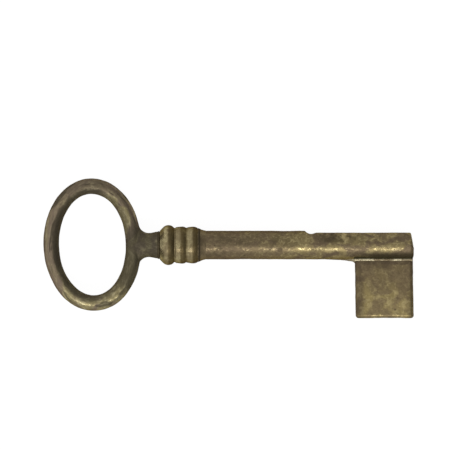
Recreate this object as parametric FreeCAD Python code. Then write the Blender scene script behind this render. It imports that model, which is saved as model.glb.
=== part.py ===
import FreeCAD, Part
import math
import os

# Barrel key with an oval bow, a turned collar and a plain square bit that has no wards cut in it yet.
#
# It is a brazed assembly of four brass parts and three runs of filler metal:
#   bow           oval ring, neck and round tenon, one casting
#   neck_braze    ring of filler between the neck's shoulder and the collar
#   collar        turned ferrule with three beads, bored for the tenon and counterbored for the barrel
#   barrel        round bar, drilled at the mouth for the lock's pin and at the rear for the tenon
#   collar_braze  cove of filler where the barrel leaves the collar
#   bit           plate with a concave seat on the barrel and a tongue let into a mortise
#   bit_braze     filler along both sides and the heel of the bit's seat
#
# Frame: millimetres. The origin is the centre of the barrel's mouth. +X points out of the mouth along
# the barrel, the bow lies at -X, the bit points to -Y, and +Z is square to the flat of the key.

# Barrel
barrel_d = 7.0
barrel_length = 59.3        # mouth to rear end, which seats in the collar
mouth_round = 0.8           # rounding of the mouth's outer edge
bore_d = 4.0                # fits over the pin that stands in the lock
bore_depth = 24.0
drill_point_deg = 118.0     # included angle that a twist drill leaves at the end of a hole

# Brazed joints
braze_gap = 0.05            # gap on each side that the filler runs into
end_gap = 0.3               # room past the end of the tenon

# Collar, described from its rear face to its front face. Heights stand on the bottom of the grooves.
collar_wall = 0.425         # metal between the barrel's seat and the bottom of a groove
collar_rear_step = 0.375    # how far the rear land lies below the bottom of a groove
collar_rear_land = 0.25
groove_width = 0.10
bead_1_height = 0.935
bead_1_round = 2.1          # radius of the first bead's profile
bead_2_height = 0.545
bead_2_width = 2.70
bead_3_height = 0.50
bead_3_width = 2.25
collar_front_land_height = 0.15
collar_front_land = 0.30
barrel_seat_depth = 6.4     # how far the barrel enters the collar

# Filler at the collar
neck_braze_stand = 0.15     # how far the ring of filler stands out from the neck's shoulder
neck_braze_width = 0.50
collar_braze_length = 2.0
collar_braze_sag = 0.12     # how far the cove's face hollows below a straight cone

# Bow: a four-centre oval of round rod, with the neck and tenon on its long side
bow_half_width = 10.08      # centre to the rod's centreline, along the key
bow_half_height = 14.23     # centre to the rod's centreline, across the key
bow_end_radius = 8.07       # centreline radius of the two tighter ends
bow_rod_d = 3.82
bow_lean_deg = 2.4          # the oval leans a little in its own plane
neck_shoulder_d = 6.6
neck_waist_d = 5.9          # width across the key between the shoulder and the flare
neck_length = 3.92          # shoulder to the outside of the oval
neck_flare = 1.6            # radius with which the neck's sides run out along the oval
neck_nose_clear = 0.12      # how far the neck's thinner end stays inside the rod
tenon_d = 4.0
tenon_in_barrel = 8.7

# Bit
bit_width = 14.2
bit_inset = 0.35            # mouth to the bit's near side, at the barrel's axis
bit_reach = 17.88           # axis to the bit's far edge
bit_thickness = 3.2
bit_side_lean = 0.33        # how far the far edge stands towards the mouth
bit_corner_round = 0.8
bit_edge_round = 0.6
tongue_thickness = 1.8
tongue_end_margin = 1.6     # bit's side to the tongue's end
mortise_floor = 0.5         # wall left between the mortise and the bore
mortise_gap = 0.05          # gap round the tongue and below it
bit_braze_radius = 1.3

# Places along the key that follow from the sizes above
barrel_r = barrel_d / 2
tenon_r = tenon_d / 2
bow_rod_r = bow_rod_d / 2
barrel_seat_r = barrel_r + braze_gap
groove_r = barrel_seat_r + collar_wall
collar_rear_land_r = groove_r - collar_rear_step
collar_front_land_r = groove_r + collar_front_land_height
collar_front_x = -(barrel_length - barrel_seat_depth)
bead_1_axis_r = groove_r + bead_1_height - bead_1_round
bead_1_rear = math.sqrt(bead_1_round ** 2 - (collar_rear_land_r - bead_1_axis_r) ** 2)
bead_1_front = math.sqrt(bead_1_round ** 2 - (groove_r - bead_1_axis_r) ** 2)
collar_length = (collar_rear_land + bead_1_rear + bead_1_front + groove_width + bead_2_width
                 + groove_width + bead_3_width + collar_front_land)
collar_rear_x = collar_front_x - collar_length
shoulder_x = collar_rear_x - neck_braze_width
bow_end_centre = bow_half_height - bow_end_radius
bow_side_radius = ((bow_half_width ** 2 + bow_end_centre ** 2 - bow_end_radius ** 2)
                   / (2 * (bow_half_width - bow_end_radius)))
oval_near_x = shoulder_x - neck_length - bow_rod_r      # the rod's centreline on the neck's side
mortise_bottom_r = bore_d / 2 + mortise_floor
bit_near_x = -bit_inset
bit_far_x = -(bit_inset + bit_width)

ALONG = FreeCAD.Vector(1, 0, 0)
UP = FreeCAD.Vector(0, 0, 1)
ORIGIN = FreeCAD.Vector(0, 0, 0)
OVERRUN = 5.0               # how far a cutting tool runs past what it cuts
ELLIPSE_MARGIN = 0.001      # keeps a nearly round section's width the larger of its two sizes


def point(x, y, z=0.0):
    return FreeCAD.Vector(x, y, z)


def line(start, end):
    return Part.LineSegment(start, end).toShape()


def arc(start, middle, end):
    return Part.Arc(start, middle, end).toShape()


def turned(edges):
    """Solid of revolution about the key's axis, from a closed outline in the XY plane."""
    return Part.Face(Part.Wire(edges)).revolve(ORIGIN, ALONG, 360)


def turned_polygon(corners):
    sides = zip(corners, corners[1:] + corners[:1])
    return turned([line(point(*a), point(*b)) for a, b in sides])


def rod(diameter, start_x, end_x):
    return Part.makeCylinder(diameter / 2, end_x - start_x, point(start_x, 0), ALONG)


def block(low, high):
    return Part.makeBox(high[0] - low[0], high[1] - low[1], high[2] - low[2], point(*low))


def drilled_hole(diameter, mouth_x, depth, direction):
    """Hole with a drill point at its end. Its mouth is at mouth_x and it runs along direction, +1 or -1."""
    radius = diameter / 2
    tip = radius / math.tan(math.radians(drill_point_deg / 2))
    outside = mouth_x - direction * OVERRUN
    end = mouth_x + direction * depth
    return turned_polygon([(outside, 0), (outside, radius), (end, radius), (end + direction * tip, 0)])


def bead(start_x, width, height):
    """Half an ellipse that stands on the bottom of the grooves."""
    ellipse = Part.Ellipse(point(start_x + width / 2, groove_r), width / 2, height)
    return Part.ArcOfEllipse(ellipse, 0, math.pi).toShape()


def tongue_block(extra):
    """The block in which the tongue stands, larger by extra at its ends and sides and below it."""
    return block(
        (bit_far_x + tongue_end_margin - extra, -barrel_d, -tongue_thickness / 2 - extra),
        (bit_near_x - tongue_end_margin + extra, -mortise_bottom_r - mortise_gap + extra,
         tongue_thickness / 2 + extra),
    )


def make_barrel():
    bar = rod(barrel_d, -barrel_length, 0)
    mouth_edges = [e for e in bar.Edges if abs(e.BoundBox.XMin) < 1e-6 and abs(e.BoundBox.XMax) < 1e-6]
    bar = bar.makeFillet(mouth_round, mouth_edges)
    bore = drilled_hole(bore_d, 0, bore_depth, -1)
    socket = drilled_hole(tenon_d + 2 * braze_gap, -barrel_length, tenon_in_barrel + end_gap, 1)
    return bar.cut(bore).cut(socket).cut(tongue_block(mortise_gap))


def make_collar():
    bead_1_start = collar_rear_x + collar_rear_land
    bead_1_crest = bead_1_start + bead_1_rear
    bead_1_end = bead_1_crest + bead_1_front
    bead_2_start = bead_1_end + groove_width
    bead_2_end = bead_2_start + bead_2_width
    bead_3_start = bead_2_end + groove_width
    bead_3_end = bead_3_start + bead_3_width
    body = turned([
        line(point(collar_rear_x, 0), point(collar_rear_x, collar_rear_land_r)),
        line(point(collar_rear_x, collar_rear_land_r), point(bead_1_start, collar_rear_land_r)),
        arc(point(bead_1_start, collar_rear_land_r), point(bead_1_crest, groove_r + bead_1_height),
            point(bead_1_end, groove_r)),
        line(point(bead_1_end, groove_r), point(bead_2_start, groove_r)),
        bead(bead_2_start, bead_2_width, bead_2_height),
        line(point(bead_2_end, groove_r), point(bead_3_start, groove_r)),
        bead(bead_3_start, bead_3_width, bead_3_height),
        line(point(bead_3_end, groove_r), point(bead_3_end, collar_front_land_r)),
        line(point(bead_3_end, collar_front_land_r), point(collar_front_x, collar_front_land_r)),
        line(point(collar_front_x, collar_front_land_r), point(collar_front_x, 0)),
        line(point(collar_front_x, 0), point(collar_rear_x, 0)),
    ])
    tenon_hole = rod(tenon_d + 2 * braze_gap, collar_rear_x - OVERRUN, collar_front_x)
    barrel_seat = rod(2 * barrel_seat_r, -barrel_length, collar_front_x + OVERRUN)
    return body.cut(tenon_hole).cut(barrel_seat)


def make_neck_braze():
    ring = rod(neck_shoulder_d + 2 * neck_braze_stand, shoulder_x, collar_rear_x)
    return ring.cut(rod(tenon_d, shoulder_x - OVERRUN, collar_rear_x + OVERRUN))


def make_collar_braze():
    top = point(collar_front_x, collar_front_land_r)
    toe = point(collar_front_x + collar_braze_length, barrel_r)
    hollow = (top + toe) * 0.5 - point(0, collar_braze_sag)
    corner = point(collar_front_x, barrel_r)
    return turned([arc(top, hollow, toe), line(toe, corner), line(corner, top)])


def oval_ring():
    """Round rod bent to a four-centre oval about the origin, standing up along Y."""
    side_centre = bow_side_radius - bow_half_width
    end_half_angle = math.degrees(math.atan2(side_centre, bow_end_centre))
    ring = None
    for centre, start, radius, half_angle in (
        (point(0, bow_end_centre), 90, bow_end_radius, end_half_angle),
        (point(0, -bow_end_centre), 270, bow_end_radius, end_half_angle),
        (point(-side_centre, 0), 0, bow_side_radius, 90 - end_half_angle),
        (point(side_centre, 0), 180, bow_side_radius, 90 - end_half_angle),
    ):
        section = Part.Face(Part.Wire(Part.makeCircle(bow_rod_r, point(radius, 0), point(0, 1))))
        bend = section.revolve(ORIGIN, UP, 2 * half_angle)
        bend.rotate(ORIGIN, UP, start - half_angle)
        bend.translate(centre)
        ring = bend if ring is None else ring.fuse(bend)
    return ring.removeSplitter()


def neck_section(x, width):
    """Ellipse square to the key's axis. It is as thick as a straight taper from shoulder to rod allows."""
    nose_thickness = bow_rod_d - 2 * neck_nose_clear
    share = (shoulder_x - x) / (shoulder_x - oval_near_x)
    thickness = neck_shoulder_d + (nose_thickness - neck_shoulder_d) * share
    major = point(x, width / 2)
    minor = point(x, 0, thickness / 2)
    return Part.Wire(Part.Ellipse(major, minor, point(x, 0)).toShape())


def make_neck():
    """Neck from inside the rod to the shoulder. Its sides flare along an arc that touches the oval."""
    outer_radius = bow_side_radius + bow_rod_r
    arc_y = neck_waist_d / 2 + neck_flare
    arc_x = oval_near_x - bow_side_radius + math.sqrt((outer_radius + neck_flare) ** 2 - arc_y ** 2)
    touch_deg = math.degrees(math.asin(arc_y / (outer_radius + neck_flare)))
    sections = [neck_section(oval_near_x, neck_waist_d + neck_flare)]
    for share in (0, 0.2, 0.5, 1):
        turn = math.radians(touch_deg + share * (90 - touch_deg))
        width = 2 * (arc_y - neck_flare * math.sin(turn))
        sections.append(neck_section(arc_x - neck_flare * math.cos(turn), width))
    sections.append(neck_section(shoulder_x, neck_shoulder_d + ELLIPSE_MARGIN))
    return Part.makeLoft(sections, True)


def make_bow():
    ring = oval_ring()
    ring.rotate(ORIGIN, UP, bow_lean_deg)
    ring.translate(point(oval_near_x - bow_half_width, 0))
    tenon = rod(tenon_d, shoulder_x, -barrel_length + tenon_in_barrel)
    return ring.fuse(make_neck()).fuse(tenon)


def bit_outline(y):
    """The bit's near and far side at a distance y below the axis."""
    lean = bit_side_lean * -y / bit_reach
    return bit_near_x + lean, bit_far_x + lean


def bit_plate():
    near_top, far_top = bit_outline(0)
    near_end, far_end = bit_outline(-bit_reach)
    corners = [point(near_top, 0), point(near_end, -bit_reach), point(far_end, -bit_reach), point(far_top, 0)]
    sides = [line(a, b) for a, b in zip(corners, corners[1:] + corners[:1])]
    plate = Part.Face(Part.Wire(sides)).extrude(UP * bit_thickness)
    plate.translate(UP * (-bit_thickness / 2))
    tip_corners = [e for e in plate.Edges
                   if e.BoundBox.ZLength > 0.9 * bit_thickness and e.BoundBox.YMax < -bit_reach + 0.1]
    plate = plate.makeFillet(bit_corner_round, tip_corners)
    rims = [e for e in plate.Edges
            if e.BoundBox.ZLength < 1e-6 and e.BoundBox.YMin < -0.1]
    return plate.makeFillet(bit_edge_round, rims)


def make_bit():
    plate = bit_plate().cut(rod(barrel_d, -barrel_length, OVERRUN))
    tongue = tongue_block(0).common(rod(barrel_d, -barrel_length, OVERRUN))
    return plate.fuse(tongue).removeSplitter()


def make_bit_braze():
    """Fillet between the barrel and the bit, less both of them, and wiped off short of the mouth."""
    bar = rod(barrel_d, -barrel_length, OVERRUN)
    plate = bit_plate()
    joined = bar.fuse(plate)
    joined = joined.makeFillet(bit_braze_radius, [e for e in joined.Edges if is_bit_root(e)])
    kept = block((-barrel_length, -bit_reach, -barrel_d), (bit_near_x - bit_edge_round, 0, barrel_d))
    return joined.common(kept).cut(bar).cut(plate)


def is_bit_root(edge):
    box = edge.BoundBox
    return (-barrel_r - 1e-3 < box.YMin and box.YMax < -barrel_r / 2
            and box.ZMax <= bit_thickness / 2 + 1e-3 and box.ZMin >= -bit_thickness / 2 - 1e-3
            and box.XMax < 0)


makers = {
    "bow": make_bow,
    "neck_braze": make_neck_braze,
    "collar": make_collar,
    "collar_braze": make_collar_braze,
    "barrel": make_barrel,
    "bit": make_bit,
    "bit_braze": make_bit_braze,
}

os.makedirs("parts", exist_ok=True)
for name, make in makers.items():
    shape = make()
    box = shape.optimalBoundingBox(False, False)
    print(f"{name:13s} valid {shape.isValid()}  solids {len(shape.Solids)}  volume {shape.Volume:8.2f} mm3  "
          f"size {box.XLength:.2f} x {box.YLength:.2f} x {box.ZLength:.2f} mm")
    shape.exportStep(f"parts/{name}.step")
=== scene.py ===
import math
import bpy
import numpy as np
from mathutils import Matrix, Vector


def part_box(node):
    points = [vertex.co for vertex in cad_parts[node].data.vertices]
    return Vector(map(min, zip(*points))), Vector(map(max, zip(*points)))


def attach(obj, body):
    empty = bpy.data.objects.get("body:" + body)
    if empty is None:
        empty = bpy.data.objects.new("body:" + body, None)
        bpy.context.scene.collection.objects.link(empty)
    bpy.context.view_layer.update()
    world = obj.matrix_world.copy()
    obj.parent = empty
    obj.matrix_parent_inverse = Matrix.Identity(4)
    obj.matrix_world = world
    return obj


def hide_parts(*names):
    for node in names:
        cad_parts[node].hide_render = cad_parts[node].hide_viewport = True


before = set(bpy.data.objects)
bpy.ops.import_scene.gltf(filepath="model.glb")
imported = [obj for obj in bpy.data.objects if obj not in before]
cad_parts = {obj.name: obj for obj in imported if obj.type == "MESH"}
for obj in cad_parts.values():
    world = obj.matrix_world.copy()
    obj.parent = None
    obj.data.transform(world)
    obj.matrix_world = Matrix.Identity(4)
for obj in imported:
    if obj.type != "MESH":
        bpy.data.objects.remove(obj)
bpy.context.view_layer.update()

# A brass barrel key, put together from a bow, a turned collar, a barrel and a bit by brazing.
# Sizes in this file are millimetres and become metres at the last step. +X runs out of the barrel's
# mouth, the bit points to -Y and +Z is square to the flat of the key.
MM = 0.001


def box_mm(node):
    low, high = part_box(node)
    return [value / MM for value in low], [value / MM for value in high]


bow_low, _ = box_mm("bow")
neck_braze_low, _ = box_mm("neck_braze")
collar_low, collar_high = box_mm("collar")
barrel_low, barrel_high = box_mm("barrel")
bit_low, bit_high = box_mm("bit")

barrel_r = barrel_high[1]
shoulder_x = neck_braze_low[0]
collar_rear_x = collar_low[0]
collar_front_x = collar_high[0]
bead_1_crest_r = collar_high[1]
key_bottom_z = collar_low[2]
bit_half_thickness = bit_high[2]

rod_r = 1.92
bow_half_width = 10.06
bow_half_height = 14.30
bow_lean = math.radians(2.2)
bow_centre_x = bow_low[0] + rod_r + bow_half_width
bow_centre_y = 0.08
oval_near_x = bow_centre_x + bow_half_width

bore_r = 2.0
bore_depth = 24.0
flat_y = 3.04               # the side away from the bit is rubbed down to this height
flat_start_x = -25.2
mouth_slant = math.radians(-10.5)
bead_line_y = -3.57         # middle of the filler bead along the bit's root
bead_r = 0.40
bit_corner_r = 0.70
bit_edge_r = 0.86
along_x = (0, math.pi / 2, 0)   # turns an upright bar to lie along X


# ---------------------------------------------------------------- modelling

def deselect_everything():
    if bpy.context.object and bpy.context.object.mode != "OBJECT":
        bpy.ops.object.mode_set(mode="OBJECT")
    bpy.ops.object.select_all(action="DESELECT")


def pick(*pieces):
    deselect_everything()
    for piece in pieces:
        piece.select_set(True)
    bpy.context.view_layer.objects.active = pieces[0]


def settle(piece, name):
    """Names the piece and puts its place into its mesh."""
    pick(piece)
    piece.name = name
    piece.data.name = name
    bpy.ops.object.transform_apply(location=True, rotation=True, scale=True)
    return piece


def draw_out(name, stations, sides=96):
    """Draws a disc out along X. A station is (x, half width in Y, half thickness in Z)."""
    deselect_everything()
    start_x, start_y, start_z = stations[0]
    bpy.ops.mesh.primitive_circle_add(
        vertices=sides, radius=MM, fill_type="NGON",
        location=(start_x * MM, 0, 0), rotation=along_x)
    piece = settle(bpy.context.object, name)
    bpy.ops.object.mode_set(mode="EDIT")
    bpy.ops.mesh.select_all(action="SELECT")
    bpy.ops.transform.resize(value=(1, start_y, start_z), center_override=(start_x * MM, 0, 0))
    for (x0, y0, z0), (x1, y1, z1) in zip(stations, stations[1:]):
        bpy.ops.mesh.extrude_region_move(TRANSFORM_OT_translate={"value": ((x1 - x0) * MM, 0, 0)})
        bpy.ops.transform.resize(value=(1, y1 / y0, z1 / z0), center_override=(x1 * MM, 0, 0))
    bpy.ops.mesh.select_all(action="SELECT")
    bpy.ops.mesh.normals_make_consistent(inside=False)
    bpy.ops.object.mode_set(mode="OBJECT")
    return piece


def turn(name, profile, sides=96):
    """Turned piece about the X axis, from (x, radius) stations."""
    return draw_out(name, [(x, r, r) for x, r in profile], sides)


def apply_modifier(piece, kind, **settings):
    pick(piece)
    modifier = piece.modifiers.new(kind.title(), kind)
    for key, value in settings.items():
        setattr(modifier, key, value)
    bpy.ops.object.modifier_apply(modifier=modifier.name)


def select_part(piece, kind, wanted):
    """Leaves the piece in edit mode, with those vertices or edges selected whose places in mm are wanted."""
    pick(piece)
    bpy.ops.object.mode_set(mode="EDIT")
    bpy.ops.mesh.select_mode(type=kind)
    bpy.ops.mesh.select_all(action="DESELECT")
    bpy.ops.object.mode_set(mode="OBJECT")
    corners = piece.data.vertices
    if kind == "VERT":
        for corner in corners:
            corner.select = wanted(corner.co / MM)
    else:
        for edge in piece.data.edges:
            edge.select = wanted(*(corners[i].co / MM for i in edge.vertices))
    bpy.ops.object.mode_set(mode="EDIT")


def cut_away(piece, *tools):
    for tool in tools:
        apply_modifier(piece, "BOOLEAN", operation="DIFFERENCE", solver="EXACT", object=tool)
        bpy.data.objects.remove(tool)


def join_to(piece, *others):
    pick(piece, *others)
    bpy.ops.object.join()


def reskin(piece, voxel, smoothing):
    """One even skin of the given fineness over all of the piece, its sharp edges worn by smoothing."""
    apply_modifier(piece, "REMESH", mode="VOXEL", voxel_size=voxel * MM, use_smooth_shade=True)
    apply_modifier(piece, "SMOOTH", factor=0.5, iterations=smoothing)


def wear(piece, size, depth):
    """Uneven handwork and dents: size is their width and depth their height."""
    clouds = bpy.data.textures.new("uneven", "CLOUDS")
    clouds.noise_scale = size * MM
    clouds.noise_depth = 2
    apply_modifier(piece, "DISPLACE", texture=clouds, texture_coords="LOCAL", strength=depth * MM,
                   mid_level=0.5)


def mark_hollows(piece):
    """Attribute that is 0.5 on flat ground, more in hollows and less on edges."""
    mesh = piece.data
    count = len(mesh.vertices)
    places = np.empty(count * 3)
    mesh.vertices.foreach_get("co", places)
    places = places.reshape(-1, 3)
    normals = np.empty(count * 3)
    mesh.vertices.foreach_get("normal", normals)
    normals = normals.reshape(-1, 3)
    pairs = np.empty(len(mesh.edges) * 2, dtype=np.int64)
    mesh.edges.foreach_get("vertices", pairs)
    here = np.concatenate([pairs[0::2], pairs[1::2]])
    there = np.concatenate([pairs[1::2], pairs[0::2]])
    steps = places[there] - places[here]
    steps /= np.maximum(np.linalg.norm(steps, axis=1, keepdims=True), 1e-9)
    rise = (steps * normals[here]).sum(axis=1)
    neighbours = np.maximum(np.bincount(here, minlength=count), 1)
    depth = np.bincount(here, weights=rise, minlength=count) / neighbours
    for _ in range(2):
        around = np.bincount(here, weights=depth[there], minlength=count) / neighbours
        depth = 0.5 * depth + 0.5 * around
    layer = mesh.attributes.new("hollow", "FLOAT", "POINT")
    layer.data.foreach_set("value", np.clip(0.5 + depth, 0, 1))


def finish_piece(piece, node, material):
    pick(piece)
    bpy.ops.object.shade_smooth()
    mark_hollows(piece)
    piece.data.materials.clear()
    piece.data.materials.append(material)
    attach(piece, "root")
    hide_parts(node)


def block(name, low, high, turned=0.0):
    """Block between two corners, then turned about an upright line through its low X and low Y corner."""
    deselect_everything()
    middle = [(a + b) / 2 * MM for a, b in zip(low, high)]
    bpy.ops.mesh.primitive_cube_add(size=1, location=middle)
    piece = bpy.context.object
    piece.scale = [(b - a) * MM for a, b in zip(low, high)]
    settle(piece, name)
    if turned:
        bpy.ops.object.mode_set(mode="EDIT")
        bpy.ops.mesh.select_all(action="SELECT")
        bpy.ops.transform.rotate(
            value=turned, orient_axis="Z", center_override=(low[0] * MM, low[1] * MM, 0))
        bpy.ops.object.mode_set(mode="OBJECT")
    return piece


def round_bar(name, radius, length, place, turned=(0, 0, 0)):
    """Round bar with its middle at the place, upright unless it is turned."""
    deselect_everything()
    bpy.ops.mesh.primitive_cylinder_add(
        vertices=64, radius=radius * MM, depth=length * MM,
        location=[value * MM for value in place], rotation=turned)
    return settle(bpy.context.object, name)


# ---------------------------------------------------------------- bow

def fill_out_shoulders(ring):
    """Draws the curve's four handles on the neck's side out a little, which squares the oval's shoulders."""
    pick(ring)
    bpy.ops.object.mode_set(mode="EDIT")
    ends = ring.data.splines[0].bezier_points
    top = max(range(4), key=lambda i: ends[i].co.y)
    near = max(range(4), key=lambda i: ends[i].co.x)
    bottom = min(range(4), key=lambda i: ends[i].co.y)
    for end, side, push in [(top, "right", (0.26, 0, 0)), (near, "left", (0, 0.36, 0)),
                            (near, "right", (0, -0.30, 0)), (bottom, "left", (0.20, 0, 0))]:
        bpy.ops.curve.select_all(action="DESELECT")
        setattr(ring.data.splines[0].bezier_points[end], "select_" + side + "_handle", True)
        bpy.ops.transform.translate(value=[value * MM for value in push])
    bpy.ops.object.mode_set(mode="OBJECT")


def make_bow():
    deselect_everything()
    bpy.ops.curve.primitive_bezier_circle_add(
        radius=bow_half_width * MM, location=(bow_centre_x * MM, bow_centre_y * MM, 0),
        rotation=(0, 0, bow_lean))
    ring = bpy.context.object
    ring.scale = (1, bow_half_height / bow_half_width, 1)
    settle(ring, "bow_casting")
    for end in ring.data.splines[0].bezier_points:
        end.radius = 1      # applying the scale changed it, and the rod's thickness with it
    fill_out_shoulders(ring)
    ring.data.resolution_u = 48
    ring.data.bevel_depth = rod_r * MM
    ring.data.bevel_resolution = 12
    bpy.ops.object.convert(target="MESH")
    outside = oval_near_x + rod_r
    neck = draw_out("neck", [
        (oval_near_x - 0.3, 3.6, 1.88),
        (outside - 0.45, 4.50, 1.93),
        (outside - 0.20, 3.98, 1.95),
        (outside + 0.10, 3.66, 1.98),
        (outside + 0.50, 3.34, 2.06),
        (outside + 1.00, 3.08, 2.21),
        (outside + 1.60, 2.95, 2.44),
        (outside + 2.20, 2.96, 2.70),
        (outside + 2.90, 3.08, 2.98),
        (outside + 3.50, 3.22, 3.18),
        (shoulder_x + 0.1, 3.30, 3.26),
    ])
    join_to(ring, neck)
    reskin(ring, voxel=0.16, smoothing=5)
    wear(ring, size=7.0, depth=0.22)
    wear(ring, size=1.6, depth=0.06)
    return ring


# ---------------------------------------------------------------- collar and its filler

def make_collar():
    x = collar_rear_x
    crest = bead_1_crest_r
    collar = turn("collar_turning", [
        (x, 3.48), (x + 0.16, 3.62), (x + 0.40, 3.84), (x + 0.66, 4.12), (x + 0.92, 4.38), (x + 1.20, 4.62),
        (x + 1.52, 4.79), (x + 1.85, crest - 0.04), (x + 2.10, crest), (x + 2.42, crest - 0.02),
        (x + 2.74, 4.84), (x + 3.00, 4.74), (x + 3.22, 4.60), (x + 3.38, 4.46), (x + 3.50, 4.30),
        (x + 3.62, 4.20), (x + 3.74, 4.18), (x + 3.86, 4.22), (x + 3.98, 4.34), (x + 4.16, 4.42),
        (x + 4.50, 4.45), (x + 4.90, 4.49), (x + 5.30, 4.54), (x + 5.62, 4.56),
        (x + 5.92, 4.53), (x + 6.16, 4.45), (x + 6.34, 4.34), (x + 6.48, 4.27), (x + 6.60, 4.26),
        (x + 6.76, 4.31), (x + 7.05, 4.39), (x + 7.45, 4.45), (x + 7.90, 4.50), (x + 8.30, 4.51),
        (x + 8.65, 4.47), (x + 8.92, 4.40), (x + 9.12, 4.31), (x + 9.24, 4.22), (x + 9.32, 4.18),
        (collar_front_x, 4.18), (collar_front_x, 3.40),
    ], sides=120)
    apply_modifier(collar, "SUBSURF", levels=1, render_levels=1)
    wear(collar, size=2.6, depth=0.11)
    wear(collar, size=0.8, depth=0.05)
    return collar


def make_neck_braze():
    x = shoulder_x
    ring = turn("neck_braze_ring", [
        (x - 0.06, 2.6), (x - 0.06, 3.14), (x + 0.02, 3.31), (x + 0.14, 3.37), (x + 0.28, 3.40),
        (x + 0.42, 3.42), (x + 0.52, 3.42), (x + 0.56, 3.30), (x + 0.56, 2.6),
    ])
    apply_modifier(ring, "SUBSURF", levels=1, render_levels=1)
    wear(ring, size=1.2, depth=0.07)
    return ring


def make_collar_braze():
    x = collar_front_x
    cove = turn("collar_braze_cove", [
        (x - 0.10, 3.30), (x - 0.10, 4.04), (x + 0.02, 4.12), (x + 0.16, 4.12), (x + 0.34, 4.07),
        (x + 0.55, 3.97), (x + 0.80, 3.85), (x + 1.10, 3.74), (x + 1.40, 3.65), (x + 1.70, 3.58),
        (x + 1.95, 3.53), (x + 2.05, 3.46), (x + 2.05, 3.30),
    ])
    apply_modifier(cove, "SUBSURF", levels=1, render_levels=1)
    wear(cove, size=1.4, depth=0.10)
    return cove


# ---------------------------------------------------------------- barrel

def make_barrel():
    rear_x = barrel_low[0] + 0.05
    r = barrel_r
    past = 4.0              # a cutting block reaches this far to each side, past the bar
    body = [(rear_x, r), (-1.0, r)]
    mouth = [(-0.84, r - 0.01), (-0.60, r - 0.06), (-0.38, r - 0.19), (-0.20, r - 0.42), (-0.09, r - 0.72),
             (-0.06, r - 0.95), (-0.06, bore_r + 0.06), (-0.12, bore_r)]
    bore = [(-bore_depth, bore_r), (-bore_depth - 1.15, 0.08)]
    barrel = turn("barrel_bar", body + mouth + bore)
    rubbed_flat = block("rubbed_flat", (flat_start_x, flat_y, -past), (1.5, 5, past))
    worn_mouth = block("worn_mouth", (-0.12, -0.6, -past), (3, 6, past), turned=mouth_slant)
    nick = round_bar("nick", radius=1.9, length=2 * past, place=(flat_start_x + 0.05, flat_y + 1.58, 0))
    cut_away(barrel, rubbed_flat, nick, worn_mouth)
    reskin(barrel, voxel=0.17, smoothing=4)
    wear(barrel, size=9.0, depth=0.12)
    wear(barrel, size=2.4, depth=0.09)
    wear(barrel, size=0.8, depth=0.035)
    return barrel


# ---------------------------------------------------------------- bit and its filler

def make_bit():
    far_x, near_x = bit_low[0], bit_high[0] - 0.26
    edge_y = bit_low[1]
    inside_bar_y = -2.6
    half = bit_half_thickness
    lean = 0.24             # the far edge stands this much nearer the mouth than the root does
    same = 0.01
    plate = block("bit_plate", (far_x, edge_y, -half), (near_x, inside_bar_y, half))
    select_part(plate, "VERT", lambda corner: corner.y < edge_y + 1)
    bpy.ops.transform.translate(value=(lean * MM, 0, 0))
    # First the two upright corners of the far edge, then every edge round both faces.
    select_part(plate, "EDGE", lambda a, b: a.y < edge_y + 1 and math.dist(a.xy, b.xy) < same)
    bpy.ops.mesh.bevel(offset=bit_corner_r * MM, segments=5, affect="EDGES")
    select_part(plate, "EDGE", lambda a, b: abs(a.z - b.z) < same)
    bpy.ops.mesh.bevel(offset=bit_edge_r * MM, segments=7, affect="EDGES")
    bpy.ops.mesh.select_all(action="SELECT")
    bpy.ops.mesh.normals_make_consistent(inside=False)
    bpy.ops.object.mode_set(mode="OBJECT")
    reskin(plate, voxel=0.14, smoothing=2)
    wear(plate, size=6.0, depth=0.20)
    wear(plate, size=1.6, depth=0.08)
    wear(plate, size=0.6, depth=0.03)
    return plate


def make_bit_braze():
    far_x, near_x = bit_low[0], bit_high[0]
    half = bit_half_thickness
    faces = (1, -1)
    heap = half + 0.45      # the filler stands out from the bit's faces, up the barrel
    root = block("bit_braze_fillet", (far_x - 0.2, bead_line_y, -heap), (near_x - 0.50, -2.4, heap))
    # A cove on each face touches the barrel all along, and hollows the filler between barrel and bead.
    cove_r = 0.75
    cove_z = half + 0.10 + cove_r
    cove_y = -math.sqrt((barrel_r + cove_r) ** 2 - cove_z ** 2)
    cut_away(root, *[
        round_bar("cove", cove_r, length=40, place=(far_x + 7, cove_y, face * cove_z), turned=along_x)
        for face in faces])
    bead_length = near_x - far_x - 0.3
    bead_x = (near_x + far_x) / 2 - 0.2
    bead_z = half - 0.10
    beads = [
        round_bar("bead", bead_r, bead_length, place=(bead_x, bead_line_y, face * bead_z), turned=along_x)
        for face in faces]
    # The filler runs on from the bit's heel along the barrel's lower side, and thins out.
    heel = draw_out("heel", [
        (far_x - 8.0, 3.48, 1.0), (far_x - 5.6, 3.58, 1.3), (far_x - 3.6, 3.66, 1.5),
        (far_x - 2.4, 3.75, 1.6), (far_x - 1.6, 3.88, 1.6), (far_x - 1.0, 3.98, 1.58),
        (far_x - 0.55, 4.08, 1.55), (far_x - 0.2, 4.22, 1.5), (far_x + 0.05, 4.55, 1.45),
        (far_x + 0.6, 5.2, 1.3),
    ])
    cut_away(heel, block("above_heel", (far_x - 9, -2.6, -4), (far_x + 2, 8, 4)))
    join_to(root, heel, *beads)
    reskin(root, voxel=0.11, smoothing=2)
    wear(root, size=1.3, depth=0.09)
    wear(root, size=0.5, depth=0.05)
    return root


# ---------------------------------------------------------------- finishes

def linear(hex_colour):
    """sRGB hex to the linear colour that shaders take."""
    parts = [int(hex_colour[i:i + 2], 16) / 255 for i in (1, 3, 5)]
    return [c / 12.92 if c <= 0.04045 else ((c + 0.055) / 1.055) ** 2.4 for c in parts] + [1.0]


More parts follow.
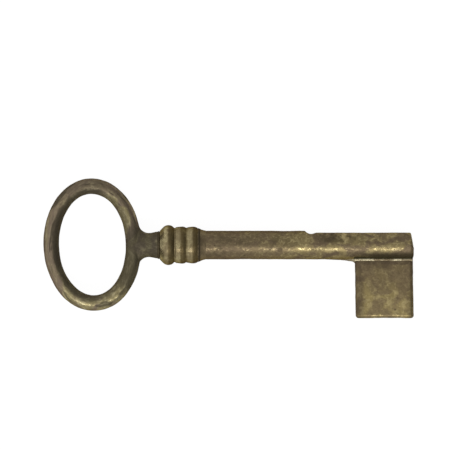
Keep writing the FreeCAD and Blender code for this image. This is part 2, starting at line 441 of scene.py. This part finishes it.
def add(tree, kind, inputs, output=0, **settings):
    """Adds a node with its settings and links, and gives one of its outputs."""
    node = tree.nodes.new(kind)
    for name, value in settings.items():
        setattr(node, name, value)
    for name, value in inputs.items():
        if isinstance(value, bpy.types.NodeSocket):
            tree.links.new(value, node.inputs[name])
        else:
            node.inputs[name].default_value = value
    return node.outputs[output] if node.outputs else None


def new_finish(name):
    """Empty material, its node tree, and the place on the piece that its patterns follow."""
    material = bpy.data.materials.new(name)
    material.use_nodes = True
    tree = material.node_tree
    tree.nodes.clear()
    return material, tree, add(tree, "ShaderNodeTexCoord", {}, "Object")


def spot(tree, place, middle, size, ragged):
    """Mask of one spot, 1 inside it and 0 outside. Its middle and half size are in mm, its edge is uneven."""
    near = add(tree, "ShaderNodeMapping", {"Vector": place, "Location": [value * MM for value in middle],
                                           "Scale": [value * MM for value in size]}, vector_type="TEXTURE")
    near = add(tree, "ShaderNodeVectorMath", {0: near}, "Value", operation="LENGTH")
    near = add(tree, "ShaderNodeMath", {0: near, 1: ragged}, operation="ADD")
    return add(tree, "ShaderNodeMapRange", {"Value": near, "From Min": 1.50, "From Max": 0.90},
               interpolation_type="SMOOTHSTEP")


def lay_patina(tree, place, patina, thin, rubbed, grime_and_shade_colour, golden, grime_and_shade, stained, patch_width, roughness,
               relief):
    """Brass under a brown patina, which has flaked in patches and is rubbed through to brighter metal.

    The four colours are those of patina, thin patina, rubbed metal, and dirt, which also serves as painted
    shade. golden says where the patina is thin, in patches up to 1 and all over above that. The dirt mask
    says where dirt lies, and on some pieces painted shade too. Each is a number or a mask. stained is how
    dark the brown stains get, patch_width is in mm, and roughness is that of patina and of rubbed metal.
    of patina and of rubbed metal.
    """
    patina, thin, rubbed, grime_and_shade_colour = [linear(colour) for colour in (patina, thin, rubbed, grime_and_shade_colour)]
    # Patina comes away in patches a few millimetres wide, and in flakes a quarter as wide.
    patches = add(tree, "ShaderNodeTexNoise", {"Vector": place, "Scale": 1 / (patch_width * MM), "Detail": 3.0,
                                               "Roughness": 0.5, "Distortion": 0.7})
    patches = add(tree, "ShaderNodeMapRange", {"Value": patches, "From Min": 0.40, "From Max": 0.58},
                  interpolation_type="SMOOTHSTEP")
    lit = add(tree, "ShaderNodeMath", {0: patches, 1: golden}, operation="MULTIPLY")
    thinned = add(tree, "ShaderNodeMath", {0: golden, 1: 1.0}, operation="SUBTRACT", use_clamp=True)
    lit = add(tree, "ShaderNodeMath", {0: lit, 1: thinned}, operation="MAXIMUM", use_clamp=True)
    colour = add(tree, "ShaderNodeMix", {0: lit, 6: patina, 7: thin}, 2, data_type="RGBA")
    flakes = add(tree, "ShaderNodeTexNoise", {"Vector": place, "Scale": 4 / (patch_width * MM), "Detail": 5.0,
                                              "Roughness": 0.6, "Distortion": 0.8})
    flaked = add(tree, "ShaderNodeMapRange", {"Value": flakes, "From Min": 0.50, "From Max": 0.59},
                 interpolation_type="SMOOTHSTEP")
    chance = add(tree, "ShaderNodeMath", {0: lit, 1: 0.55, 2: 0.14}, operation="MULTIPLY_ADD")
    bared = add(tree, "ShaderNodeMath", {0: flaked, 1: chance}, operation="MULTIPLY")
    # Handling keeps the edges bright and leaves grime in the hollows.
    bend = add(tree, "ShaderNodeAttribute", {}, "Fac", attribute_name="hollow")
    edge = add(tree, "ShaderNodeMapRange", {"Value": bend, "From Min": 0.45, "From Max": 0.34, "To Max": 0.75})
    hollow = add(tree, "ShaderNodeMapRange", {"Value": bend, "From Min": 0.55, "From Max": 0.70, "To Max": 0.9})
    bared = add(tree, "ShaderNodeMath", {0: bared, 1: edge}, operation="MAXIMUM")
    colour = add(tree, "ShaderNodeMix", {0: bared, 6: colour, 7: rubbed}, 2, data_type="RGBA")
    # Brown stains over three millimetres wide, and pits of about half a millimetre.
    stains = add(tree, "ShaderNodeTexNoise", {"Vector": place, "Scale": 1 / (3.4 * MM), "Detail": 4.0,
                                              "Roughness": 0.55, "Distortion": 1.3})
    stains = add(tree, "ShaderNodeMapRange", {"Value": stains, "From Min": 0.55, "From Max": 0.63,
                                              "To Max": stained}, interpolation_type="SMOOTHSTEP")
    spots = add(tree, "ShaderNodeTexVoronoi", {"Vector": place, "Scale": 1 / (2.2 * MM)}, "Distance")
    chosen = add(tree, "ShaderNodeSeparateColor", {"Color": spots.node.outputs["Color"]}, "Red")
    chosen = add(tree, "ShaderNodeMath", {0: chosen, 1: 0.80}, operation="GREATER_THAN")
    pits = add(tree, "ShaderNodeMapRange", {"Value": spots, "From Min": 0.16, "From Max": 0.08, "To Max": 0.60},
               interpolation_type="SMOOTHSTEP")
    pits = add(tree, "ShaderNodeMath", {0: pits, 1: chosen}, operation="MULTIPLY")
    # The dark colour goes where the mask puts dirt, and on some pieces painted shade, and in hollows, stains
    # and pits.
    dark = add(tree, "ShaderNodeMath", {0: hollow, 1: grime_and_shade}, operation="MAXIMUM")
    dark = add(tree, "ShaderNodeMath", {0: dark, 1: stains}, operation="MAXIMUM")
    dark = add(tree, "ShaderNodeMath", {0: dark, 1: pits}, operation="MAXIMUM")
    colour = add(tree, "ShaderNodeMix", {0: dark, 6: colour, 7: grime_and_shade_colour}, 2, data_type="RGBA")
    # The corroded skin's grain is finer than can be seen, so it is drawn a third of a millimetre wide.
    grain = add(tree, "ShaderNodeTexNoise", {"Vector": place, "Scale": 1 / (0.35 * MM), "Detail": 2.0})
    tone = add(tree, "ShaderNodeMapRange", {"Value": grain, "From Min": 0.3, "From Max": 0.7,
                                            "To Min": 0.90, "To Max": 1.10})
    colour = add(tree, "ShaderNodeHueSaturation", {"Value": tone, "Color": colour})
    # Flakes and edges are smoother than the patina round them.
    smooth = add(tree, "ShaderNodeMath", {0: flaked, 1: edge}, operation="MAXIMUM")
    smooth = add(tree, "ShaderNodeMath", {0: smooth, 1: 0.7}, operation="MULTIPLY")
    smooth = add(tree, "ShaderNodeMath", {0: lit, 1: 0.45, 2: smooth}, operation="MULTIPLY_ADD")
    gloss = add(tree, "ShaderNodeMapRange", {"Value": smooth, "To Min": roughness[0], "To Max": roughness[1]})
    gloss = add(tree, "ShaderNodeMath", {0: dark, 1: 0.26, 2: gloss}, operation="MULTIPLY_ADD")
    # Grain and flakes stand up, and pits are sunk, by up to a twentieth of a millimetre.
    height = add(tree, "ShaderNodeMath", {0: grain, 1: 0.4, 2: flakes}, operation="MULTIPLY_ADD")
    height = add(tree, "ShaderNodeMath", {0: height, 1: pits}, operation="SUBTRACT")
    normal = add(tree, "ShaderNodeBump", {"Height": height, "Strength": relief, "Distance": 0.05 * MM})
    # The brown tint keeps old, dirty metal from flashing white where it is seen edge-on.
    shader = add(tree, "ShaderNodeBsdfPrincipled", {
        "Base Color": colour, "Metallic": 0.95, "Roughness": gloss, "Normal": normal,
        "Specular Tint": linear("#958e81")})
    add(tree, "ShaderNodeOutputMaterial", {"Surface": shader})


def cast_brass():
    """Sand-cast brass, brown all over, with its patina drawn along the rod by handling: dull at the top
    and far side of the ring, dirty on its inside and darker there towards the far limb as painted shade,
    greenish black on the neck, and olive gold where fingers turn it, with paler spots that are painted
    highlights."""
    dark_far_x, dark_near_x = -84.0, -72.0        # inside the ring, from most dirt and painted shade to less
    plain_y, dull_y = 10.5, 13.0                    # the top of the ring
    plain_x, dull_x = -74.0, -77.0
    brown_x, gold_x = -88.0, -82.0                  # the side away from the neck
    upper_y, lower_y = -4.0, -7.0
    # Spots of rubbed metal that are painted paler as highlights: middle and half size in mm.
    rubbed_and_highlight_spots = ((-71.1, 6.6, 2.0, 3.8), (-74.0, 10.6, 2.0, 2.2), (-74.2, -12.6, 3.6, 1.5))
    ring_size, drawn_out = 12.0, 0.45
    material, tree, place = new_finish("cast_brass_brown_patina")
    across = add(tree, "ShaderNodeSeparateXYZ", {"Vector": place}, "X")
    up = across.node.outputs["Y"]
    oval = add(tree, "ShaderNodeMapping", {
        "Vector": place, "Location": (bow_centre_x * MM, bow_centre_y * MM, 0), "Rotation": (0, 0, bow_lean),
        "Scale": (bow_half_width * MM, bow_half_height * MM, 1)}, vector_type="TEXTURE")
    reach = add(tree, "ShaderNodeVectorMath", {0: oval}, "Value", operation="LENGTH")
    # The pattern's own place: along the rod, where less than full size draws it out, and across it.
    oval_x = add(tree, "ShaderNodeSeparateXYZ", {"Vector": oval}, "X")
    backwards = add(tree, "ShaderNodeMath", {0: oval_x, 1: -1.0}, operation="MULTIPLY")
    angle = add(tree, "ShaderNodeMath", {0: oval_x.node.outputs["Y"], 1: backwards}, operation="ARCTAN2")
    along_rod = add(tree, "ShaderNodeMath", {0: angle, 1: drawn_out * ring_size * MM}, operation="MULTIPLY")
    across_rod = add(tree, "ShaderNodeMath", {0: reach, 1: ring_size * MM}, operation="MULTIPLY")
    drawn = add(tree, "ShaderNodeCombineXYZ", {
        "X": along_rod, "Y": across_rod, "Z": across.node.outputs["Z"]}, "Vector")
    # On the neck the pattern runs straight along it, inside a wedge that opens from the ring's inner edge.
    aside = add(tree, "ShaderNodeMath", {0: up}, operation="ABSOLUTE")
    wedge = add(tree, "ShaderNodeMath", {0: across, 1: aside}, operation="SUBTRACT")
    on_neck = add(tree, "ShaderNodeMapRange", {"Value": wedge, "From Min": (oval_near_x - 2.2) * MM,
                                               "From Max": (oval_near_x - 0.8) * MM},
                  interpolation_type="SMOOTHSTEP")
    drawn = add(tree, "ShaderNodeMix", {0: on_neck, 4: drawn, 5: place}, 1, data_type="VECTOR")
    ragged = add(tree, "ShaderNodeTexNoise", {"Vector": drawn, "Scale": 1 / (2.0 * MM), "Detail": 4.0,
                                              "Distortion": 0.5})
    inner = add(tree, "ShaderNodeMath", {0: ragged, 1: 0.16, 2: reach}, operation="MULTIPLY_ADD")
    inner = add(tree, "ShaderNodeMapRange", {"Value": inner, "From Min": 1.10, "From Max": 1.01},
                interpolation_type="SMOOTHSTEP")
    # The far limb's inside, turned from the lamp, gets more of the dark colour: painted shade on top of the
    # dirt.
    inside_dirt_and_shade = add(tree, "ShaderNodeMapRange", {
        "Value": across, "From Min": dark_far_x * MM, "From Max": dark_near_x * MM,
        "To Min": 0.80, "To Max": 0.50})
    at_top = add(tree, "ShaderNodeMapRange", {"Value": up, "From Min": plain_y * MM, "From Max": dull_y * MM})
    left_part = add(tree, "ShaderNodeMapRange", {"Value": across, "From Min": plain_x * MM,
                                                 "From Max": dull_x * MM, "To Max": 0.85})
    at_top_left = add(tree, "ShaderNodeMath", {0: at_top, 1: left_part}, operation="MULTIPLY")
    inside_dirt_and_shade = add(tree, "ShaderNodeMath", {0: inside_dirt_and_shade, 1: at_top_left}, operation="MAXIMUM")
    inside = add(tree, "ShaderNodeMath", {0: inner, 1: inside_dirt_and_shade}, operation="MULTIPLY")
    neck = add(tree, "ShaderNodeMapping", {
        "Vector": place, "Location": ((oval_near_x + 2.4) * MM, -4.4 * MM, 0), "Scale": (MM, 1.3 * MM, MM)},
        vector_type="TEXTURE")
    neck = add(tree, "ShaderNodeVectorMath", {0: neck}, "Value", operation="LENGTH")
    neck = add(tree, "ShaderNodeMath", {0: ragged, 1: 4.0, 2: neck}, operation="MULTIPLY_ADD")
    neck = add(tree, "ShaderNodeMapRange", {"Value": neck, "From Min": 11.4, "From Max": 7.4, "To Max": 0.80},
               interpolation_type="SMOOTHSTEP")
    grime_and_shade = add(tree, "ShaderNodeMath", {0: inside, 1: neck}, operation="MAXIMUM")
    dull_top = add(tree, "ShaderNodeMath", {0: at_top_left, 1: 0.40}, operation="MULTIPLY")
    grime_and_shade = add(tree, "ShaderNodeMath", {0: grime_and_shade, 1: dull_top}, operation="MAXIMUM")
    # Dark lines of old dirt and bare streaks between them run along the rod.
    long = add(tree, "ShaderNodeMapping", {"Vector": drawn, "Scale": (drawn_out, 1, 1)})
    streaks = add(tree, "ShaderNodeTexNoise", {"Vector": long, "Scale": 1 / (1.3 * MM), "Detail": 3.0,
                                               "Distortion": 0.3})
    lines = add(tree, "ShaderNodeMapRange", {"Value": streaks, "From Min": 0.53, "From Max": 0.62,
                                             "To Max": 0.75}, interpolation_type="SMOOTHSTEP")
    bare_streaks = add(tree, "ShaderNodeMapRange", {"Value": streaks, "From Min": 0.47, "From Max": 0.38,
                                                    "To Max": 0.45},
                       interpolation_type="SMOOTHSTEP")
    # Fingers rub it bare on the neck's side of the ring: above the neck, near the top and at the bottom. These
    # paler, smoother spots are also painted highlights.
    rubbed_and_highlit = 0.0
    for x, y, half_x, half_y in rubbed_and_highlight_spots:
        rubbed = spot(tree, place, (x, y, rod_r), (half_x, half_y, 2.4), ragged)
        rubbed_and_highlit = add(tree, "ShaderNodeMath", {0: rubbed_and_highlit, 1: rubbed}, operation="MAXIMUM")
    lines = add(tree, "ShaderNodeMath", {0: lines, 1: rubbed_and_highlit}, operation="SUBTRACT", use_clamp=True)
    grime_and_shade = add(tree, "ShaderNodeMath", {0: grime_and_shade, 1: lines}, operation="MAXIMUM")
    far_side = add(tree, "ShaderNodeMapRange", {"Value": across, "From Min": brown_x * MM,
                                                "From Max": gold_x * MM, "To Min": 0.05})
    low_down = add(tree, "ShaderNodeMapRange", {"Value": up, "From Min": upper_y * MM,
                                                "From Max": lower_y * MM})
    far_side = add(tree, "ShaderNodeMath", {0: far_side, 1: low_down}, operation="MAXIMUM")
    below_top = add(tree, "ShaderNodeMapRange", {"Value": at_top, "To Min": 1.0, "To Max": 0.25})
    golden = add(tree, "ShaderNodeMath", {0: far_side, 1: bare_streaks}, operation="MAXIMUM")
    golden = add(tree, "ShaderNodeMath", {0: golden, 1: below_top}, operation="MULTIPLY")
    golden = add(tree, "ShaderNodeMath", {0: rubbed_and_highlit, 1: 1.9, 2: golden}, operation="MULTIPLY_ADD")
    lay_patina(tree, drawn, patina="#706354", thin="#827858", rubbed="#a39978", grime_and_shade_colour="#464135", golden=golden,
               grime_and_shade=grime_and_shade, stained=0.35, patch_width=3.2, roughness=(0.46, 0.31), relief=0.45)
    return material


def turned_brass():
    """Lathe-turned brass, its crests worn smooth and pale by handling, with yellow-brown dirt in the
    grooves."""
    grooves = (3.20, 6.20, 9.20)                    # from the collar's rear
    groove_edge, groove_foot = 1.15, 0.50           # half widths of the dirt, where it starts and is full
    material, tree, place = new_finish("turned_brass_worn_crests")
    along = add(tree, "ShaderNodeSeparateXYZ", {"Vector": place}, "X")
    ragged = add(tree, "ShaderNodeTexNoise", {"Vector": place, "Scale": 1 / (1.6 * MM), "Detail": 3.0})
    along = add(tree, "ShaderNodeMath", {0: ragged, 1: 0.5 * MM, 2: along}, operation="MULTIPLY_ADD")
    grime_and_shade = 0.0
    for groove in grooves:
        gap = add(tree, "ShaderNodeMath", {0: along, 1: (collar_rear_x + groove) * MM}, operation="SUBTRACT")
        gap = add(tree, "ShaderNodeMath", {0: gap}, operation="ABSOLUTE")
        gap = add(tree, "ShaderNodeMapRange", {"Value": gap, "From Min": groove_edge * MM,
                                               "From Max": groove_foot * MM, "To Max": 0.80},
                  interpolation_type="SMOOTHSTEP")
        grime_and_shade = add(tree, "ShaderNodeMath", {0: grime_and_shade, 1: gap}, operation="MAXIMUM")
    golden = add(tree, "ShaderNodeMapRange", {"Value": along, "From Min": (collar_rear_x + 3) * MM,
                                              "From Max": collar_front_x * MM, "To Min": 1.0, "To Max": 0.2})
    lay_patina(tree, place, patina="#75694f", thin="#8d8262", rubbed="#a79c76", grime_and_shade_colour="#4c4027", golden=golden,
               grime_and_shade=grime_and_shade, stained=0.30, patch_width=3.0, roughness=(0.36, 0.22), relief=0.4)
    return material


def barrel_brass():
    """Drawn brass bar: brown and dull towards the collar, with a smoother gold side towards the bit, brown
    patches along its back and black dirt with painted shade down the flank where the bit meets it."""
    flank_y, dark_flank_y = -1.5, -2.5
    before_bit_x, at_bit_x = -20.0, -13.0
    crown_y, back_y = 0.2, 1.0
    brown_middle_x, brown_end, brown_full = -18.0, 6.0, 3.0     # the brown stretch and its half lengths
    brown_x, gold_x = -42.0, -28.0
    stains = ((-48.7, -0.1, 0.45, 0.6), (-43.1, 0.5, 0.50, 0.4), (-33.6, 1.7, 1.60, 0.35))
    material, tree, place = new_finish("drawn_brass_rubbed")
    along = add(tree, "ShaderNodeSeparateXYZ", {"Vector": place}, "X")
    up = along.node.outputs["Y"]
    ragged = add(tree, "ShaderNodeTexNoise", {"Vector": place, "Scale": 1 / (2.6 * MM), "Detail": 4.0,
                                              "Distortion": 0.8})
    # Down the flank over the bit: black dirt, and painted shade where the barrel's lower side faces the bit.
    flank = add(tree, "ShaderNodeMapRange", {"Value": up, "From Min": flank_y * MM,
                                             "From Max": dark_flank_y * MM}, interpolation_type="SMOOTHSTEP")
    slant = add(tree, "ShaderNodeMath", {0: up, 1: 1.6, 2: along}, operation="MULTIPLY_ADD")
    over_bit = add(tree, "ShaderNodeMapRange", {"Value": slant, "From Min": before_bit_x * MM,
                                                "From Max": at_bit_x * MM}, interpolation_type="SMOOTHSTEP")
    root = add(tree, "ShaderNodeMath", {0: flank, 1: over_bit}, operation="MULTIPLY")
    # The back is browner, in ragged patches from the nick to the middle of the bit.
    back = add(tree, "ShaderNodeMapRange", {"Value": up, "From Min": crown_y * MM, "From Max": back_y * MM},
               interpolation_type="SMOOTHSTEP")
    stretch = add(tree, "ShaderNodeMath", {0: along, 1: brown_middle_x * MM}, operation="SUBTRACT")
    stretch = add(tree, "ShaderNodeMath", {0: stretch}, operation="ABSOLUTE")
    stretch = add(tree, "ShaderNodeMapRange", {"Value": stretch, "From Min": brown_end * MM,
                                               "From Max": brown_full * MM, "To Min": 0.20})
    patchy = add(tree, "ShaderNodeMapRange", {"Value": ragged, "From Min": 0.46, "From Max": 0.52})
    back = add(tree, "ShaderNodeMath", {0: back, 1: stretch}, operation="MULTIPLY")
    back = add(tree, "ShaderNodeMath", {0: back, 1: patchy}, operation="MULTIPLY")
    back = add(tree, "ShaderNodeMath", {0: back, 1: 0.65}, operation="MULTIPLY")
    grime_and_shade = add(tree, "ShaderNodeMath", {0: root, 1: back}, operation="MAXIMUM")
    for x, y, size, darkness in stains:
        stain = spot(tree, place, (x, y, math.sqrt(barrel_r ** 2 - y ** 2)), (size, size * 0.7, size), ragged)
        stain = add(tree, "ShaderNodeMath", {0: stain, 1: darkness}, operation="MULTIPLY")
        grime_and_shade = add(tree, "ShaderNodeMath", {0: grime_and_shade, 1: stain}, operation="MAXIMUM")
    golden = add(tree, "ShaderNodeMapRange", {"Value": along, "From Min": brown_x * MM,
                                              "From Max": gold_x * MM, "To Min": 0.10})
    drawn = add(tree, "ShaderNodeMapping", {"Vector": place, "Scale": (0.8, 1, 1)})
    lay_patina(tree, drawn, patina="#635643", thin="#786b4b", rubbed="#9a8d66", grime_and_shade_colour="#4c4432", golden=golden,
               grime_and_shade=grime_and_shade, stained=0.30, patch_width=3.0, roughness=(0.50, 0.27), relief=0.45)
    return material


def bit_brass():
    """Filed brass plate: mottled gold, brown down both sides and below the root."""
    clean_far_x, dark_far_x = -10.4, -12.2
    clean_near_x, dark_near_x = -1.2, 0.2
    clean_y, brown_y = -11.5, -4.0
    root_from_y, root_to_y = -5.7, -4.5
    dull_y, gold_y = -4.5, -13.0
    material, tree, place = new_finish("filed_brass_mottled")
    along = add(tree, "ShaderNodeSeparateXYZ", {"Vector": place}, "X")
    up = along.node.outputs["Y"]
    ragged = add(tree, "ShaderNodeTexNoise", {"Vector": place, "Scale": 1 / (2.5 * MM), "Detail": 4.0,
                                              "Distortion": 0.6})
    shifted = add(tree, "ShaderNodeMath", {0: ragged, 1: 2.0 * MM, 2: along}, operation="MULTIPLY_ADD")
    far_side = add(tree, "ShaderNodeMapRange", {"Value": shifted, "From Min": clean_far_x * MM,
                                                "From Max": dark_far_x * MM}, interpolation_type="SMOOTHSTEP")
    near_side = add(tree, "ShaderNodeMapRange", {"Value": shifted, "From Min": clean_near_x * MM,
                                                 "From Max": dark_near_x * MM, "To Max": 0.8},
                    interpolation_type="SMOOTHSTEP")
    fading = add(tree, "ShaderNodeMath", {0: ragged, 1: 3.0 * MM, 2: up}, operation="MULTIPLY_ADD")
    fading = add(tree, "ShaderNodeMapRange", {"Value": fading, "From Min": clean_y * MM,
                                              "From Max": brown_y * MM, "To Max": 0.70})
    below_root = add(tree, "ShaderNodeMapRange", {"Value": up, "From Min": root_from_y * MM,
                                                  "From Max": root_to_y * MM, "To Max": 1.1},
                     interpolation_type="SMOOTHSTEP")
    below_root = add(tree, "ShaderNodeMath", {0: fading, 1: below_root}, operation="MAXIMUM")
    grime_and_shade = add(tree, "ShaderNodeMath", {0: far_side, 1: near_side}, operation="MAXIMUM")
    grime_and_shade = add(tree, "ShaderNodeMath", {0: grime_and_shade, 1: below_root}, operation="MAXIMUM")
    patch = spot(tree, place, middle=(-8.1, -4.9, bit_half_thickness), size=(2.8, 1.4, 1.4), ragged=ragged)
    grime_and_shade = add(tree, "ShaderNodeMath", {0: grime_and_shade, 1: patch}, operation="MAXIMUM")
    grime_and_shade = add(tree, "ShaderNodeMath", {0: grime_and_shade, 1: 0.62}, operation="MULTIPLY")
    golden = add(tree, "ShaderNodeMapRange", {"Value": up, "From Min": dull_y * MM, "From Max": gold_y * MM,
                                              "To Min": 0.35})
    lay_patina(tree, place, patina="#706248", thin="#857750", rubbed="#a2936a", grime_and_shade_colour="#483d33", golden=golden,
               grime_and_shade=grime_and_shade, stained=0.30, patch_width=4.6, roughness=(0.46, 0.28), relief=0.5)
    return material


def collar_filler():
    """Brazing filler round the collar's two ends: it flowed and set smooth, and has gone as brown as
    the bar."""
    clean_x, dirty_x = -60.0, -61.0                 # under the collar, so only the ring at its rear is dirty
    line_x = collar_front_x + 0.35
    line_edge, line_foot = 0.62, 0.38               # half widths of the line, where it starts and is full
    material, tree, place = new_finish("flowed_filler_brass_brown")
    along = add(tree, "ShaderNodeSeparateXYZ", {"Vector": place}, "X")
    at_neck = add(tree, "ShaderNodeMapRange", {"Value": along, "From Min": clean_x * MM,
                                               "From Max": dirty_x * MM, "To Max": 0.80})
    # Dirt has settled in a broken line where the filler starts.
    ragged = add(tree, "ShaderNodeTexNoise", {"Vector": place, "Scale": 1 / (1.2 * MM), "Detail": 3.0})
    gap = add(tree, "ShaderNodeMath", {0: along, 1: line_x * MM}, operation="SUBTRACT")
    gap = add(tree, "ShaderNodeMath", {0: gap}, operation="ABSOLUTE")
    gap = add(tree, "ShaderNodeMath", {0: ragged, 1: 0.5 * MM, 2: gap}, operation="MULTIPLY_ADD")
    line = add(tree, "ShaderNodeMapRange", {"Value": gap, "From Min": line_edge * MM,
                                            "From Max": line_foot * MM, "To Max": 0.85},
               interpolation_type="SMOOTHSTEP")
    grime_and_shade = add(tree, "ShaderNodeMath", {0: at_neck, 1: line}, operation="MAXIMUM")
    lay_patina(tree, place, patina="#6b5e48", thin="#766950", rubbed="#8b7e60", grime_and_shade_colour="#3d362a", golden=0.3,
               grime_and_shade=grime_and_shade, stained=0.15, patch_width=2.4, roughness=(0.50, 0.38), relief=0.5)
    return material


def root_filler():
    """Brazing filler along the bit's root: a pale bead, with black dirt and painted shade between it and the
    barrel.
    """
    pale_y, black_y = bead_line_y + 0.14, bead_line_y + 0.30
    before_bit_x, at_bit_x = -17.5, -14.5
    brown_x, pale_x = -16.5, -14.0
    material, tree, place = new_finish("flowed_filler_brass_pale")
    up = add(tree, "ShaderNodeSeparateXYZ", {"Vector": place}, "Y")
    along = up.node.outputs["X"]
    # Between the bead and the barrel the filler is painted dark: dirt, and shade in the hollow against the
    # barrel.
    above_bead = add(tree, "ShaderNodeMapRange", {"Value": up, "From Min": pale_y * MM,
                                                  "From Max": black_y * MM}, interpolation_type="SMOOTHSTEP")
    at_bit = add(tree, "ShaderNodeMapRange", {"Value": along, "From Min": before_bit_x * MM,
                                              "From Max": at_bit_x * MM}, interpolation_type="SMOOTHSTEP")
    grime_and_shade = add(tree, "ShaderNodeMath", {0: above_bead, 1: at_bit}, operation="MULTIPLY")
    pale = add(tree, "ShaderNodeMapRange", {"Value": along, "From Min": brown_x * MM, "From Max": pale_x * MM})
    lay_patina(tree, place, patina="#6f624c", thin="#a79e82", rubbed="#b8af91", grime_and_shade_colour="#3b3623", golden=pale,
               grime_and_shade=grime_and_shade, stained=0.15, patch_width=2.4, roughness=(0.44, 0.32), relief=0.4)
    return material


collar_fill = collar_filler()
finish_piece(make_bow(), "bow", cast_brass())
finish_piece(make_neck_braze(), "neck_braze", collar_fill)
finish_piece(make_collar(), "collar", turned_brass())
finish_piece(make_collar_braze(), "collar_braze", collar_fill)
finish_piece(make_barrel(), "barrel", barrel_brass())
finish_piece(make_bit(), "bit", bit_brass())
finish_piece(make_bit_braze(), "bit_braze", root_filler())


# ---------------------------------------------------------------- floor, light and camera

view_middle = (-46.24, 4.91, 0.0)
view_width = 110.16
lens = 600.0
sensor = 36.0
floor_gap = 0.1             # the floor is this far below the key
floor_size = 6              # metres, as are the lamp's sizes and its distance


def make_floor():
    """White sheet lit from below, so that the key throws hardly any shadow on it."""
    deselect_everything()
    bpy.ops.mesh.primitive_plane_add(size=floor_size, location=(0, 0, (key_bottom_z - floor_gap) * MM))
    floor = bpy.context.object
    floor.name = "floor"
    material = bpy.data.materials.new("white_light_table")
    material.use_nodes = True
    tree = material.node_tree
    tree.nodes.clear()
    sheet = add(tree, "ShaderNodeBsdfDiffuse", {"Color": linear("#616161")})
    glow = add(tree, "ShaderNodeEmission", {"Color": linear("#ffffff"), "Strength": 0.93})
    both = add(tree, "ShaderNodeAddShader", {0: sheet, 1: glow})
    add(tree, "ShaderNodeOutputMaterial", {"Surface": both})
    floor.data.materials.append(material)


def make_world():
    """Even light from above and from the bow's side, falling off towards the mouth's side."""
    world = bpy.data.worlds.new("soft_studio")
    bpy.context.scene.world = world
    world.use_nodes = True
    tree = world.node_tree
    tree.nodes.clear()
    way = add(tree, "ShaderNodeTexCoord", {}, "Generated")
    towards_mouth = add(tree, "ShaderNodeSeparateXYZ", {"Vector": way}, "X")
    level = add(tree, "ShaderNodeMapRange", {"Value": towards_mouth, "From Min": 0.50, "From Max": -0.15,
                                             "To Min": 0.37, "To Max": 1.13}, interpolation_type="SMOOTHSTEP")
    sky = add(tree, "ShaderNodeBackground", {"Color": linear("#ffffff"), "Strength": level})
    add(tree, "ShaderNodeOutputWorld", {"Surface": sky})


def make_lamp(name, towards, distance, size, power):
    """Soft lamp with a long side along X, off in the given direction and aimed back at the view's middle."""
    deselect_everything()
    direction = Vector(towards).normalized()
    place = Vector(view_middle) * MM + direction * distance
    bpy.ops.object.light_add(type="AREA", location=place)
    lamp = bpy.context.object
    lamp.name = name
    lamp.data.shape = "RECTANGLE"
    lamp.data.size, lamp.data.size_y = size
    lamp.data.energy = power
    lamp.rotation_euler = (-direction).to_track_quat("-Z", "Y").to_euler()


def make_camera():
    """Camera straight above, so far off that the key's thickness hardly changes its outline."""
    deselect_everything()
    height = view_width * lens / sensor * MM
    bpy.ops.object.camera_add(location=(view_middle[0] * MM, view_middle[1] * MM, height), rotation=(0, 0, 0))
    camera = bpy.context.object
    camera.data.lens = lens
    camera.data.sensor_width = sensor
    camera.data.clip_start = 0.01
    camera.data.clip_end = 20
    bpy.context.scene.camera = camera


make_floor()
make_world()
make_lamp("soft_key_lamp", towards=(0.04, -0.57, 0.85), distance=1.2, size=(0.80, 0.20), power=4.5)
make_camera()
bpy.context.scene.view_settings.view_transform = "Standard"
